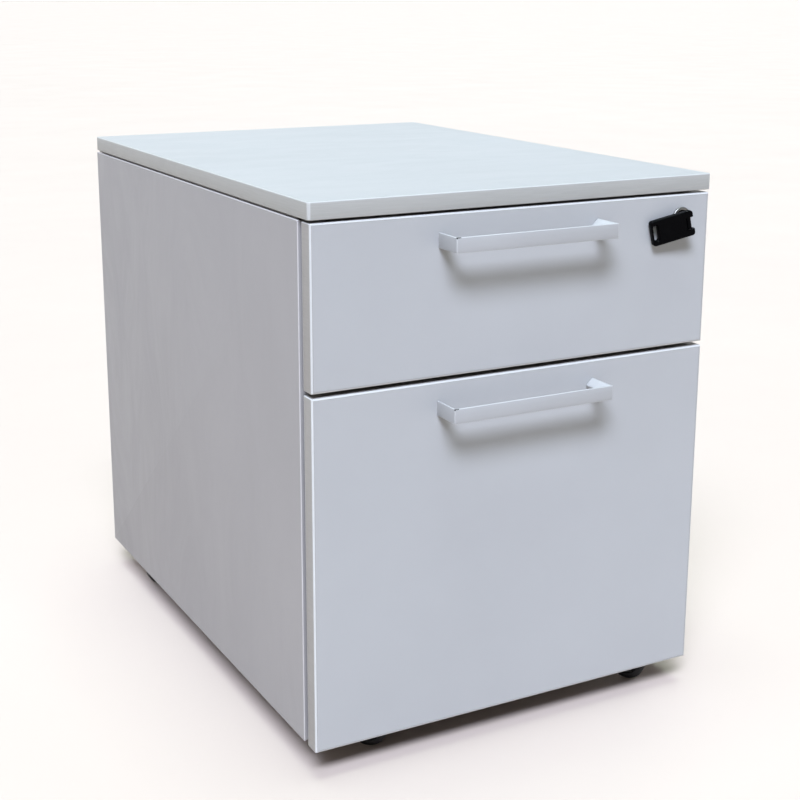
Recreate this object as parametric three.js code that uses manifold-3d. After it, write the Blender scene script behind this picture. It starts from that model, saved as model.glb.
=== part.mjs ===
// Rolling pedestal cabinet: a sheet-steel carcass on four swivel casters, with a board top, a shallow
// upper drawer and a deep filing drawer on telescopic slides, a front lock and a locking bar.
//
// Millimetres. +X is the cabinet's right, +Y its back, +Z up. The origin is on the floor, under the
// middle of the overall box, so the handles' reach in front counts in that box.

import * as THREE from "three";
import { mergeVertices } from "three/addons/utils/BufferGeometryUtils.js";
import Module from "manifold-3d";

// ---------------------------------------------------------------- driving dimensions

const WIDTH = 430;
const DEPTH = 600;
const HEIGHT = 538;
const BOARD = 16; // top panel
const FRONT_BOARD = 18; // drawer fronts
const SHEET = 1; // carcass steel
const DRAWER_SHEET = 1.2; // drawer steel, rails and base pan
const EDGE_RADIUS = 1.5; // upright corners of the top panel

const HANDLE_REACH = 32;
const FRONT_Y = HANDLE_REACH - (DEPTH + HANDLE_REACH) / 2;
const BACK_Y = FRONT_Y + DEPTH;

// Carcass
const SHADOW_GAP = 2; // between the sides and the top panel
const SIDE_SETBACK = 22; // sides' front edges, behind the fronts' faces
const SIDE_BOTTOM = 31;
const SIDE_TOP = HEIGHT - BOARD - SHADOW_GAP;
const FLANGE = 15; // folded edges of the sides
const FRONT_RETURN = 25;
const REAR_RETURN = 75;
const INNER_HALF = WIDTH / 2 - FLANGE; // half the clear width between the sides' returns
const FIT = 0.3; // gap that welded or screwed sheets keep here
const PAN_BOTTOM = 47;
const PAN_RIM = 15;
const PAN_INSET = { front: 4, back: 15 }; // from the sides' front and rear edges
const BACK_FLANGE = 12;
const RAIL_HEIGHT = 22;
const RAIL_DEPTH = 30;
const FRONT_RAIL_Y = -244;
const REAR_RAIL_Y = 270;

// Drawer fronts
const FRONT_HALF = 213.5;
const UPPER_FRONT_BOTTOM = 370.5;
const UPPER_FRONT_TOP = 519.5;
const LOWER_FRONT_BOTTOM = 29;
const LOWER_FRONT_TOP = 366.5;

// Drawer boxes
const BOX_HALF = 187;
const BOX_LENGTH = 500;
const BOX_FRONT_Y = FRONT_Y + FRONT_BOARD;
const HEM = 8;
const UPPER_BOX = { bottom: 388, top: 482 };
const LOWER_BOX = { bottom: 66, top: 342 };
const FILE_RAIL = { x: 165, thick: 2, bottom: 324, top: 338 };

// Telescopic slides: 45 mm high, 12.7 mm thick
const SLIDE_LENGTH = 500;
const SLIDE_Y = -246;
const UPPER_SLIDE_Z = 416;
const LOWER_SLIDE_Z = 110;

// Handles
const HANDLE_LENGTH = 172;
const HANDLE_HEIGHT = 14;
const HANDLE_X = -3;
const HANDLE_THIN = 1;
const HANDLE_THICK = 8;
const HANDLE_SLOPE = 6.4; // height over which the inner face slopes
const UPPER_HANDLE_TOP = 503;
const LOWER_HANDLE_TOP = 349;

// Lock and key
const LOCK_X = 180.2;
const LOCK_Z = 496.2;
const LOCK_FLANGE_R = 11;
const BARREL_R = 9.5;
const BORE_R = 6.4;
const PLUG_R = 6;
const BARREL_END_Y = -258;
const LOCK_NUT = { radius: 14, thick: 4 };
const KEYWAY = { width: 2.8, height: 6.6, depth: 18 };
const KEY_PIVOT_Y = FRONT_Y - 11.7;
const KEY_PIVOT_Z = 493.2;
const KEY_TILT = THREE.MathUtils.degToRad(13.4); // left end lower
const KEY_LEAN = THREE.MathUtils.degToRad(10.6); // left end nearer the front
const KEY_HEAD = { left: 40.3, right: 4.8, width: 25, thick: 6, corner: 3 };
const KEY_FORK = { width: 12, depth: 3.3 };
const KEY_SLOT = { fromEnd: 4.6, length: 15, width: 5 };
const KEY_PIN_R = 1.45;
const KEY_EYE_R = 2.6;
const KEY_BLADE = { thick: 2.2, height: 6 };

// Locking bar
const CAM_RADIUS = 11; // from the lock's axis to the cam's pin
const CAM_REST = THREE.MathUtils.degToRad(-45); // unlocked
const CAM_PIN_R = 1.5;
const BAR = { x0: 196.6, x1: 199.4, y0: -259, y1: -249, bottom: 66, top: 494 };
const BAR_SLOT_HEIGHT = 4.4;
const STUD_R = 2;
const STUD_RISE = 21; // above its slide's middle, unlocked
const CATCH_RISE = 34; // catch's middle, above its slide's middle
const CATCH_LENGTH = 16;
const GUIDE_HEIGHT = 12;
const UPPER_GUIDE_Z = 345;
const LOWER_GUIDE_Z = 190;

// Casters
const FRONT_CASTER_X = 155;
const FRONT_CASTER_Y = -230;
const REAR_CASTER_X = 164;
const REAR_CASTER_Y = 226;
const WHEEL_R = 17.5;
const WHEEL_WIDTH = 18;
const WHEEL_SHOULDER = 6;
const TRAIL = 22;
const AXLE_R = 3;

const wasm = await Module();
wasm.setup();

// ---------------------------------------------------------------- materials

const LOOKS = {
  topBoard: { color: 0xdde8f2, roughness: 0.55, metalness: 0 },
  frontBoard: { color: 0xc3cad6, roughness: 0.5, metalness: 0 },
  carcassPaint: { color: 0xb2b2b6, roughness: 0.5, metalness: 0.1 },
  drawerPaint: { color: 0xb6b8bc, roughness: 0.5, metalness: 0.1 },
  handlePaint: { color: 0xf2f2f2, roughness: 0.35, metalness: 0 },
  zinc: { color: 0xb9bcc0, roughness: 0.35, metalness: 0.9 },
  chrome: { color: 0xc9ccd0, roughness: 0.2, metalness: 1 },
  keyPlastic: { color: 0x0c0d0f, roughness: 0.25, metalness: 0 },
  wheelPlastic: { color: 0x101012, roughness: 0.5, metalness: 0 },
  forkPaint: { color: 0x141416, roughness: 0.45, metalness: 0.3 },
};

// ---------------------------------------------------------------- shape helpers

// A box between two corners.
function box(x0, x1, y0, y1, z0, z1) {
  const geometry = new THREE.BoxGeometry(Math.abs(x1 - x0), y1 - y0, z1 - z0);
  return geometry.translate((x0 + x1) / 2, (y0 + y1) / 2, (z0 + z1) / 2);
}

function outline(points) {
  return new THREE.Shape(points.map(([a, b]) => new THREE.Vector2(a, b)));
}

function extrude(shape, depth, curveSegments = 6) {
  return new THREE.ExtrudeGeometry(shape, { depth, bevelEnabled: false, curveSegments });
}

// Extrusions along one axis. The shape's two coordinates are the other two axes, in X, Y, Z order.
function alongZ(shape, z0, z1, curveSegments) {
  return extrude(shape, z1 - z0, curveSegments).translate(0, 0, z0);
}

function alongY(shape, y0, y1, curveSegments) {
  return extrude(shape, y1 - y0, curveSegments).rotateX(Math.PI / 2).translate(0, y1, 0);
}

function alongX(shape, x0, x1, curveSegments) {
  const turn = new THREE.Matrix4().makeBasis(
    new THREE.Vector3(0, 1, 0),
    new THREE.Vector3(0, 0, 1),
    new THREE.Vector3(1, 0, 0),
  );
  return extrude(shape, x1 - x0, curveSegments).applyMatrix4(turn).translate(x0, 0, 0);
}

function roundedRectangle(x0, x1, y0, y1, radius) {
  const shape = new THREE.Shape();
  shape.absarc(x1 - radius, y0 + radius, radius, -Math.PI / 2, 0);
  shape.absarc(x1 - radius, y1 - radius, radius, 0, Math.PI / 2);
  shape.absarc(x0 + radius, y1 - radius, radius, Math.PI / 2, Math.PI);
  shape.absarc(x0 + radius, y0 + radius, radius, Math.PI, 1.5 * Math.PI);
  return shape;
}

// Round bars along Y and Z, centred on a point of the other two axes.
function rodY(radius, x, z, y0, y1, segments = 24) {
  return new THREE.CylinderGeometry(radius, radius, y1 - y0, segments).translate(x, (y0 + y1) / 2, z);
}

function rodZ(radius, x, y, z0, z1, segments = 20) {
  const rod = new THREE.CylinderGeometry(radius, radius, z1 - z0, segments).rotateX(Math.PI / 2);
  return rod.translate(x, y, (z0 + z1) / 2);
}

function rodX(radius, y, z, x0, x1, segments = 16) {
  const rod = new THREE.CylinderGeometry(radius, radius, x1 - x0, segments).rotateZ(Math.PI / 2);
  return rod.translate((x0 + x1) / 2, y, z);
}

function toSolid(geometry) {
  const bare = geometry.clone();
  bare.deleteAttribute("normal");
  bare.deleteAttribute("uv");
  const merged = mergeVertices(bare, 1e-4);
  return new wasm.Manifold(
    new wasm.Mesh({
      numProp: 3,
      vertProperties: merged.attributes.position.array,
      triVerts: new Uint32Array(merged.index.array),
    }),
  );
}

function toGeometry(solid) {
  const mesh = solid.getMesh();
  const geometry = new THREE.BufferGeometry();
  geometry.setAttribute("position", new THREE.BufferAttribute(mesh.vertProperties, 3));
  geometry.setIndex(new THREE.BufferAttribute(mesh.triVerts, 1));
  geometry.computeVertexNormals();
  return geometry;
}

function join(...geometries) {
  return toGeometry(geometries.map(toSolid).reduce((all, next) => all.add(next)));
}

function cut(geometry, ...tools) {
  return toGeometry(tools.map(toSolid).reduce((left, tool) => left.subtract(tool), toSolid(geometry)));
}

function common(first, second) {
  return toGeometry(toSolid(first).intersect(toSolid(second)));
}

function piece(name, look, geometry) {
  const mesh = new THREE.Mesh(geometry, new THREE.MeshStandardMaterial(LOOKS[look]));
  mesh.name = name;
  return mesh;
}

// ---------------------------------------------------------------- carcass

function topPanel() {
  const plan = roundedRectangle(-WIDTH / 2, WIDTH / 2, FRONT_Y, BACK_Y, EDGE_RADIUS);
  return piece("top_panel", "topBoard", alongZ(plan, HEIGHT - BOARD, HEIGHT));
}

// One sheet folded into a shallow box: outer skin, front and rear flanges with returns that carry
// the slides, and narrow flanges at the top and the bottom.
function sidePanel(name, side) {
  const front = FRONT_Y + SIDE_SETBACK;
  const plan = outline(
    [
      [0, front],
      [0, BACK_Y],
      [FLANGE, BACK_Y],
      [FLANGE, BACK_Y - REAR_RETURN],
      [FLANGE - SHEET, BACK_Y - REAR_RETURN],
      [FLANGE - SHEET, BACK_Y - SHEET],
      [SHEET, BACK_Y - SHEET],
      [SHEET, front + SHEET],
      [FLANGE - SHEET, front + SHEET],
      [FLANGE - SHEET, front + FRONT_RETURN],
      [FLANGE, front + FRONT_RETURN],
      [FLANGE, front],
    ].map(([inwards, y]) => [side * (WIDTH / 2 - inwards), y]),
  );
  const outer = side * (WIDTH / 2 - SHEET / 2);
  const inner = side * (INNER_HALF + SHEET);
  const flangeFrom = front + SHEET / 2;
  const flangeTo = BACK_Y - SHEET / 2;
  return piece(
    name,
    "carcassPaint",
    join(
      alongZ(plan, SIDE_BOTTOM, SIDE_TOP),
      box(outer, inner, flangeFrom, flangeTo, SIDE_TOP - SHEET, SIDE_TOP),
      box(outer, inner, flangeFrom, flangeTo, SIDE_BOTTOM, SIDE_BOTTOM + SHEET),
    ),
  );
}

// A flat sheet with flanges folded forwards beside the sides' rear returns.
function backPanel() {
  const half = INNER_HALF - FIT;
  const face = BACK_Y - SHEET;
  const plan = outline([
    [-half, face],
    [-half, face - BACK_FLANGE],
    [-half + SHEET, face - BACK_FLANGE],
    [-half + SHEET, face - SHEET],
    [half - SHEET, face - SHEET],
    [half - SHEET, face - BACK_FLANGE],
    [half, face - BACK_FLANGE],
    [half, face],
  ]);
  return piece("back_panel", "carcassPaint", alongZ(plan, SIDE_BOTTOM + 5, SIDE_TOP - 0.5));
}

// A tray with its rim turned up, raised inside the sides. The casters are fixed under it.
function basePan() {
  const half = INNER_HALF - FIT;
  const front = FRONT_Y + SIDE_SETBACK + PAN_INSET.front;
  const back = BACK_Y - PAN_INSET.back;
  const wall = DRAWER_SHEET;
  return piece(
    "base_pan",
    "carcassPaint",
    cut(
      box(-half, half, front, back, PAN_BOTTOM, PAN_BOTTOM + PAN_RIM),
      box(
        -half + wall,
        half - wall,
        front + wall,
        back - wall,
        PAN_BOTTOM + wall,
        PAN_BOTTOM + PAN_RIM + 1,
      ),
    ),
  );
}

// A channel, open below, from side to side under the top panel.
function topRail(name, y) {
  const half = INNER_HALF - FIT;
  const top = HEIGHT - BOARD;
  const low = top - RAIL_HEIGHT;
  const wall = DRAWER_SHEET;
  const section = outline([
    [y, low],
    [y + wall, low],
    [y + wall, top - wall],
    [y + RAIL_DEPTH - wall, top - wall],
    [y + RAIL_DEPTH - wall, low],
    [y + RAIL_DEPTH, low],
    [y + RAIL_DEPTH, top],
    [y, top],
  ]);
  return piece(name, "carcassPaint", alongX(section, -half, half));
}

// ---------------------------------------------------------------- slides

// Sections of the three members: [distance from the carcass side, height from the middle].
const SLIDE_SECTIONS = {
  outer: { web: [0, 1.2], lip: 9, height: 45, opensOutwards: true },
  middle: { web: [4.2, 5.4], lip: 11, height: 37, opensOutwards: true },
  inner: { web: [12.7, 11.5], lip: 7, height: 29, opensOutwards: false },
};

function slideMember(name, member, side, middleZ) {
  const { web, lip, height } = SLIDE_SECTIONS[member];
  const [back, face] = web;
  const outside = height / 2;
  const inside = outside - Math.abs(face - back);
  const section = outline(
    [
      [back, -outside],
      [back, outside],
      [lip, outside],
      [lip, inside],
      [face, inside],
      [face, -inside],
      [lip, -inside],
      [lip, -outside],
    ].map(([offset, rise]) => [side * (INNER_HALF - offset), middleZ + rise]),
  );
  return piece(name, "zinc", alongY(section, SLIDE_Y, SLIDE_Y + SLIDE_LENGTH));
}

function slideMembers(member) {
  const rows = [
    ["upper_left_slide_", -1, UPPER_SLIDE_Z],
    ["upper_right_slide_", 1, UPPER_SLIDE_Z],
    ["lower_left_slide_", -1, LOWER_SLIDE_Z],
    ["lower_right_slide_", 1, LOWER_SLIDE_Z],
  ];
  return rows.map(([stem, side, z]) => slideMember(stem + member, member, side, z));
}

// ---------------------------------------------------------------- drawers

function drawerFront(name, bottom, top, lockHole) {
  const face = outline([
    [-FRONT_HALF, bottom],
    [FRONT_HALF, bottom],
    [FRONT_HALF, top],
    [-FRONT_HALF, top],
  ]);
  if (lockHole) {
    const hole = new THREE.Path();
    hole.absarc(LOCK_X, LOCK_Z, BARREL_R + FIT, 0, 2 * Math.PI);
    face.holes.push(hole);
  }
  return piece(name, "frontBoard", alongY(face, FRONT_Y, BOX_FRONT_Y, 16));
}

// Bottom and both sides folded from one sheet, with the sides' top edges hemmed double.
function drawerShell(name, { bottom, top }) {
  const wall = DRAWER_SHEET;
  const inner = BOX_HALF - wall;
  const hem = BOX_HALF - 2 * wall;
  const section = outline([
    [-BOX_HALF, bottom],
    [BOX_HALF, bottom],
    [BOX_HALF, top],
    [hem, top],
    [hem, top - HEM],
    [inner, top - HEM],
    [inner, bottom + wall],
    [-inner, bottom + wall],
    [-inner, top - HEM],
    [-hem, top - HEM],
    [-hem, top],
    [-BOX_HALF, top],
  ]);
  return piece(name, "drawerPaint", alongY(section, BOX_FRONT_Y + wall, BOX_FRONT_Y + BOX_LENGTH));
}

function innerFront(name, { bottom, top }) {
  const sheet = box(-BOX_HALF, BOX_HALF, BOX_FRONT_Y, BOX_FRONT_Y + DRAWER_SHEET, bottom, top);
  return piece(name, "drawerPaint", sheet);
}

// A sheet between the shell's sides, below their hems, with its own double hem on top.
function drawerBack(name, { bottom, top }) {
  const half = BOX_HALF - DRAWER_SHEET - FIT;
  const low = bottom + DRAWER_SHEET + FIT;
  const high = top - HEM - FIT;
  const back = BOX_FRONT_Y + BOX_LENGTH;
  const section = outline([
    [back, low],
    [back, high],
    [back - 2 * DRAWER_SHEET, high],
    [back - 2 * DRAWER_SHEET, high - HEM],
    [back - DRAWER_SHEET, high - HEM],
    [back - DRAWER_SHEET, low],
  ]);
  return piece(name, "drawerPaint", alongX(section, -half, half));
}

function fileRail(name, side) {
  const { x, thick, bottom, top } = FILE_RAIL;
  const from = BOX_FRONT_Y + DRAWER_SHEET + FIT;
  const to = BOX_FRONT_Y + BOX_LENGTH - 2 * DRAWER_SHEET - FIT;
  const low = side * x - thick / 2;
  return piece(name, "zinc", box(low, low + thick, from, to, bottom, top));
}

// A bow handle with upright outer faces and inner faces that slope towards mid-height.
function handle(name, top) {
  const low = top - HANDLE_HEIGHT;
  const left = HANDLE_X - HANDLE_LENGTH / 2;
  const right = HANDLE_X + HANDLE_LENGTH / 2;
  const face = FRONT_Y - HANDLE_REACH;
  const levels = [
    [low - 1, HANDLE_THIN],
    [low, HANDLE_THIN],
    [low + HANDLE_SLOPE, HANDLE_THICK],
    [top - HANDLE_SLOPE, HANDLE_THICK],
    [top, HANDLE_THIN],
    [top + 1, HANDLE_THIN],
  ];
  const upwards = levels.map(([z, thick]) => [left + thick, z]);
  const downwards = levels.map(([z, thick]) => [right - thick, z]).reverse();
  const behind = FRONT_Y + 1;
  const frontwards = levels.map(([z, thick]) => [face + thick, z]);
  const fingerSpace = common(
    alongY(outline([...upwards, ...downwards]), face, behind + 1),
    alongX(outline([...frontwards, [behind, top + 1], [behind, low - 1]]), left, right),
  );
  return piece(name, "handlePaint", cut(box(left, right, face, FRONT_Y, low, top), fingerSpace));
}

// A small angle on the drawer's right side, which the locking bar's stud holds back.
function drawerCatch(name, slideZ) {
  const low = slideZ + CATCH_RISE - CATCH_LENGTH / 2;
  const high = low + CATCH_LENGTH;
  const x0 = BOX_HALF + FIT;
  const front = BAR.y1 + 1;
  const foot = box(x0, x0 + 1.5, front, front + CATCH_LENGTH, low, high);
  const nose = box(x0, x0 + 8, front, front + 2.5, low, high);
  return piece(name, "zinc", join(foot, nose));
}

// ---------------------------------------------------------------- lock

function lockHousing() {
  const body = join(
    rodY(LOCK_FLANGE_R, LOCK_X, LOCK_Z, FRONT_Y - 2, FRONT_Y, 32),
    rodY(BARREL_R, LOCK_X, LOCK_Z, FRONT_Y - 1, BARREL_END_Y, 32),
  );
  const bore = rodY(BORE_R, LOCK_X, LOCK_Z, FRONT_Y - 3, BARREL_END_Y + 1);
  return piece("lock_housing", "chrome", cut(body, bore));
}

function lockNut() {
  const from = BOX_FRONT_Y + DRAWER_SHEET + FIT;
  const to = from + LOCK_NUT.thick;
  const nut = rodY(LOCK_NUT.radius, LOCK_X, LOCK_Z, from, to, 6);
  const bore = rodY(BARREL_R + FIT, LOCK_X, LOCK_Z, from - 1, to + 1, 32);
  return piece("lock_nut", "zinc", cut(nut, bore));
}

function lockPlug() {
  const { width, height, depth } = KEYWAY;
  const barrel = rodY(PLUG_R, LOCK_X, LOCK_Z, FRONT_Y - 2.4, BARREL_END_Y + 2);
  const keyway = box(-width / 2, width / 2, FRONT_Y - 5, FRONT_Y + depth, -height / 2, height / 2);
  keyway.rotateY(-KEY_TILT).translate(LOCK_X, 0, KEY_PIVOT_Z);
  return piece("lock_plug", "chrome", cut(barrel, keyway));
}

// An arm on the plug's rear end, with a pin that reaches back into the locking bar's slot.
function lockCam() {
  const from = BARREL_END_Y + 2;
  const arm = roundedRectangle(-6, CAM_RADIUS + 3.5, -5, 5, 3.4);
  const plate = alongY(arm, from, from + 2).translate(0, FIT, 0);
  const pin = rodY(CAM_PIN_R, CAM_RADIUS, 0, from + 1, from + 8, 16);
  const cam = join(plate, pin).rotateY(-CAM_REST).translate(LOCK_X, 0, LOCK_Z);
  return piece("lock_cam", "zinc", cam);
}

// The blade and, around the key's pin, its rolled eye.
function keyBlade() {
  const { thick, height } = KEY_BLADE;
  const eyeTop = KEY_FORK.width / 2 - 0.4;
  const eye = cut(
    rodZ(KEY_EYE_R, 0, 0, -eyeTop, eyeTop),
    rodZ(KEY_PIN_R + 0.15, 0, 0, -KEY_FORK.width, KEY_FORK.width),
  );
  const tip = FRONT_Y + KEYWAY.depth - 2 - KEY_PIVOT_Y;
  const blade = box(-thick / 2, thick / 2, 2.2, tip, -height / 2, height / 2);
  const shape = join(eye, blade).rotateY(-KEY_TILT).translate(LOCK_X, KEY_PIVOT_Y, KEY_PIVOT_Z);
  return piece("key_blade", "zinc", shape);
}

// The key's folding parts are made flat, their pin on the Z axis and the head pointing to -X.
function placeOnKey(geometry) {
  return geometry.rotateZ(-KEY_LEAN).rotateY(-KEY_TILT).translate(LOCK_X, KEY_PIVOT_Y, KEY_PIVOT_Z);
}

function keyHead() {
  const { left, right, width, thick, corner } = KEY_HEAD;
  const slotX = -left + KEY_SLOT.fromEnd;
  const face = roundedRectangle(-left, right, -width / 2, width / 2, corner);
  const hole = roundedRectangle(
    slotX - KEY_SLOT.width / 2,
    slotX + KEY_SLOT.width / 2,
    -KEY_SLOT.length / 2,
    KEY_SLOT.length / 2,
    KEY_SLOT.width / 2 - 0.01,
  );
  face.holes.push(hole);
  const plate = alongY(face, -thick / 2, thick / 2, 5);
  const gap = box(-KEY_FORK.depth, right + 1, -thick, thick, -KEY_FORK.width / 2, KEY_FORK.width / 2);
  const pinHole = rodZ(KEY_PIN_R + 0.35, 0, 0, -width, width);
  return piece("key_head", "keyPlastic", placeOnKey(cut(plate, gap, pinHole)));
}

function keyPin() {
  const half = KEY_HEAD.width / 2 - 0.4;
  return piece("key_pin", "zinc", placeOnKey(rodZ(KEY_PIN_R, 0, 0, -half, half)));
}

// A flat bar up the right side: a slotted tab for the cam's pin and a stud for each drawer's catch.
function lockBar() {
  const pinX = LOCK_X + CAM_RADIUS * Math.cos(CAM_REST);
  const pinZ = LOCK_Z + CAM_RADIUS * Math.sin(CAM_REST);
  const tabY = BARREL_END_Y + 5.5;
  const studY = (BAR.y0 + BAR.y1) / 2;
  const studs = [UPPER_SLIDE_Z, LOWER_SLIDE_Z].map((slideZ) =>
    rodX(STUD_R, studY, slideZ + STUD_RISE, BOX_HALF + 3, BAR.x0 + 1),
  );
  const bar = join(
    box(BAR.x0, BAR.x1, BAR.y0, BAR.y1, BAR.bottom, BAR.top),
    box(LOCK_X + 3, BAR.x1, tabY, tabY + 2, pinZ - 4.5, pinZ + 5),
    ...studs,
  );
  const halfSlot = BAR_SLOT_HEIGHT / 2;
  const slot = box(pinX - 2.5, pinX + 6, tabY - 1, tabY + 3, pinZ - halfSlot, pinZ + halfSlot);
  return piece("lock_bar", "zinc", cut(bar, slot));
}

// A staple on the right side's front return, which keeps the locking bar upright.
function barGuide(name, z) {
  const top = z + GUIDE_HEIGHT;
  const outer = box(BAR.x0 - 1.6, INNER_HALF, BAR.y0 - 2, BAR.y1 + 2, z, top);
  const inner = box(BAR.x0 - 0.4, INNER_HALF + 1, BAR.y0 - 0.5, BAR.y1 + 0.5, z - 1, top + 1);
  return piece(name, "zinc", cut(outer, inner));
}

// ---------------------------------------------------------------- casters

// Each caster is made about its own swivel axis, trailing towards +X.
const PLATE = { half: 19, thick: 2, corner: 3 };
const HOOD = { bottom: 37.5, top: 39.5 };
const LEG = { thick: 1.6, halfLength: 7 };
const KINGPIN_R = 4;

function casterPlate(name) {
  const plan = roundedRectangle(-PLATE.half, PLATE.half, -PLATE.half, PLATE.half, PLATE.corner);
  const flat = alongZ(plan, PAN_BOTTOM - PLATE.thick, PAN_BOTTOM, 3);
  const kingpin = rodZ(KINGPIN_R, 0, 0, HOOD.bottom - 1, PAN_BOTTOM - 1);
  const head = rodZ(KINGPIN_R + 2, 0, 0, HOOD.bottom - 2.2, HOOD.bottom - 0.6);
  return piece(name, "forkPaint", join(flat, kingpin, head));
}

function casterFork(name) {
  const gap = WHEEL_WIDTH / 2 + 0.8;
  const reach = TRAIL + LEG.halfLength;
  const hood = join(
    box(0, reach, -gap - LEG.thick, gap + LEG.thick, HOOD.bottom, HOOD.top),
    rodZ(gap + LEG.thick, 0, 0, HOOD.bottom, PAN_BOTTOM - PLATE.thick - 0.6, 24),
  );
  const leg = new THREE.Shape();
  leg.moveTo(TRAIL - 18, HOOD.top);
  leg.absarc(TRAIL, WHEEL_R, LEG.halfLength, -0.85 * Math.PI, 0);
  leg.lineTo(reach, HOOD.top);
  const legs = [-gap - LEG.thick, gap].map((y) => alongY(leg, y, y + LEG.thick, 8));
  const holes = [
    rodZ(KINGPIN_R + 0.3, 0, 0, HOOD.bottom - 1, PAN_BOTTOM),
    rodY(AXLE_R + 0.1, TRAIL, WHEEL_R, -gap - 5, gap + 5),
  ];
  return piece(name, "forkPaint", cut(join(hood, ...legs), ...holes));
}

function casterAxle(name) {
  const half = WHEEL_WIDTH / 2 + 0.8 + LEG.thick + 0.6;
  return piece(name, "zinc", rodY(AXLE_R, TRAIL, WHEEL_R, -half, half));
}

// A tread with round shoulders and a bore for the axle.
function casterWheel(name) {
  const half = WHEEL_WIDTH / 2;
  const bore = AXLE_R + 0.15;
  const steps = 3;
  const shoulder = Array.from({ length: steps + 1 }, (_, step) => {
    const angle = (step / steps) * (Math.PI / 2);
    return [
      WHEEL_R - WHEEL_SHOULDER * (1 - Math.cos(angle)),
      half - WHEEL_SHOULDER * (1 - Math.sin(angle)),
    ];
  });
  const upper = [...shoulder, [bore, half]];
  const lower = upper.map(([r, y]) => [r, -y]).reverse();
  const profile = [...upper, ...lower, upper[0]].map(([r, y]) => new THREE.Vector2(r, y));
  const wheel = new THREE.LatheGeometry(profile, 28);
  return piece(name, "wheelPlastic", wheel.translate(TRAIL, 0, WHEEL_R));
}

const CASTERS = [
  { stem: "caster_front_left_", x: -FRONT_CASTER_X, y: FRONT_CASTER_Y, yaw: -36 },
  { stem: "caster_front_right_", x: FRONT_CASTER_X, y: FRONT_CASTER_Y, yaw: -50 },
  { stem: "caster_rear_left_", x: -REAR_CASTER_X, y: REAR_CASTER_Y, yaw: 180 },
  { stem: "caster_rear_right_", x: REAR_CASTER_X, y: REAR_CASTER_Y, yaw: 145 },
];

function caster({ stem, x, y, yaw }) {
  const group = new THREE.Group();
  group.position.set(x, y, 0);
  const turning = new THREE.Group();
  turning.rotation.z = THREE.MathUtils.degToRad(yaw);
  turning.add(casterFork(stem + "fork"), casterAxle(stem + "axle"), casterWheel(stem + "wheel"));
  group.add(casterPlate(stem + "plate"), turning);
  return group;
}

// ---------------------------------------------------------------- assembly

const cabinet = new THREE.Group();

cabinet.add(
  topPanel(),
  sidePanel("left_side_panel", -1),
  sidePanel("right_side_panel", 1),
  backPanel(),
  basePan(),
  topRail("front_top_rail", FRONT_RAIL_Y),
  topRail("rear_top_rail", REAR_RAIL_Y),
);

for (const member of Object.keys(SLIDE_SECTIONS)) {
  cabinet.add(...slideMembers(member));
}

cabinet.add(
  drawerFront("upper_drawer_front", UPPER_FRONT_BOTTOM, UPPER_FRONT_TOP, true),
  innerFront("upper_drawer_inner_front", UPPER_BOX),
  drawerShell("upper_drawer_shell", UPPER_BOX),
  drawerBack("upper_drawer_back", UPPER_BOX),
  handle("upper_handle", UPPER_HANDLE_TOP),
  drawerCatch("upper_drawer_catch", UPPER_SLIDE_Z),
);

cabinet.add(
  drawerFront("lower_drawer_front", LOWER_FRONT_BOTTOM, LOWER_FRONT_TOP, false),
  innerFront("lower_drawer_inner_front", LOWER_BOX),
  drawerShell("lower_drawer_shell", LOWER_BOX),
  drawerBack("lower_drawer_back", LOWER_BOX),
  fileRail("left_file_rail", -1),
  fileRail("right_file_rail", 1),
  handle("lower_handle", LOWER_HANDLE_TOP),
  drawerCatch("lower_drawer_catch", LOWER_SLIDE_Z),
);

cabinet.add(lockHousing(), lockNut(), lockPlug(), lockCam(), keyBlade(), keyHead(), keyPin());
cabinet.add(
  lockBar(),
  barGuide("upper_bar_guide", UPPER_GUIDE_Z),
  barGuide("lower_bar_guide", LOWER_GUIDE_Z),
);
cabinet.add(...CASTERS.map(caster));

export default cabinet;
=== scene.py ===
"""The rolling pedestal cabinet's looks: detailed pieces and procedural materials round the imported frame.

Metres, in the frame's own axes: +X is the cabinet's right, +Y its back, +Z up. Each section makes the
pieces of one part of the cabinet from the boxes of the frame's nodes.
"""

import math
import random

import bmesh
import bpy
from mathutils import Matrix, Vector


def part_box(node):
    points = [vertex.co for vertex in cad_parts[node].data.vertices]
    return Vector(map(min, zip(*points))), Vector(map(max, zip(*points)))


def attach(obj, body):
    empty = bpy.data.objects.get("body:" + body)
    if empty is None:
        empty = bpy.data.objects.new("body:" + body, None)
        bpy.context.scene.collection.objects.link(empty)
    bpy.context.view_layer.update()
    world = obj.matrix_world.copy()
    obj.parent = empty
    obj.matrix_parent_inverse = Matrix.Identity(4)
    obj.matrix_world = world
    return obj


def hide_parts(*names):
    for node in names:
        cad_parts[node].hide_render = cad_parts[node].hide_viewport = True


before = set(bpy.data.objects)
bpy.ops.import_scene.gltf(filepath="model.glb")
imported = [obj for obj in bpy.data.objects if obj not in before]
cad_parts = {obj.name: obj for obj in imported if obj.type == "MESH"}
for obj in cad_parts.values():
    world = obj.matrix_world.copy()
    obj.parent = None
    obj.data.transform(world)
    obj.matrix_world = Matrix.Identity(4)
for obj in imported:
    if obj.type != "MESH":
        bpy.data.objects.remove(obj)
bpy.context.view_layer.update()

MM = 0.001
SIDES = {"left": -1, "right": 1}
ROWS = ("upper", "lower")
ENDS = ("front", "rear")
SHEET = 1.0 * MM  # carcass steel
DRAWER_SHEET = 1.2 * MM  # also the base pan, the top rails and the slides
BAND = 2.0 * MM  # edge band
SHARP_ANGLE = math.radians(32)  # edges that turn more than this are shaded sharp
rng = random.Random(7)


# -------- mesh building


def in_plane(points, axis, level):
    """2D points, given in the other two axes in X, Y, Z order, at a level along the axis."""
    if axis == "x":
        return [(level, a, b) for a, b in points]
    if axis == "y":
        return [(a, level, b) for a, b in points]
    return [(a, b, level) for a, b in points]


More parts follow.
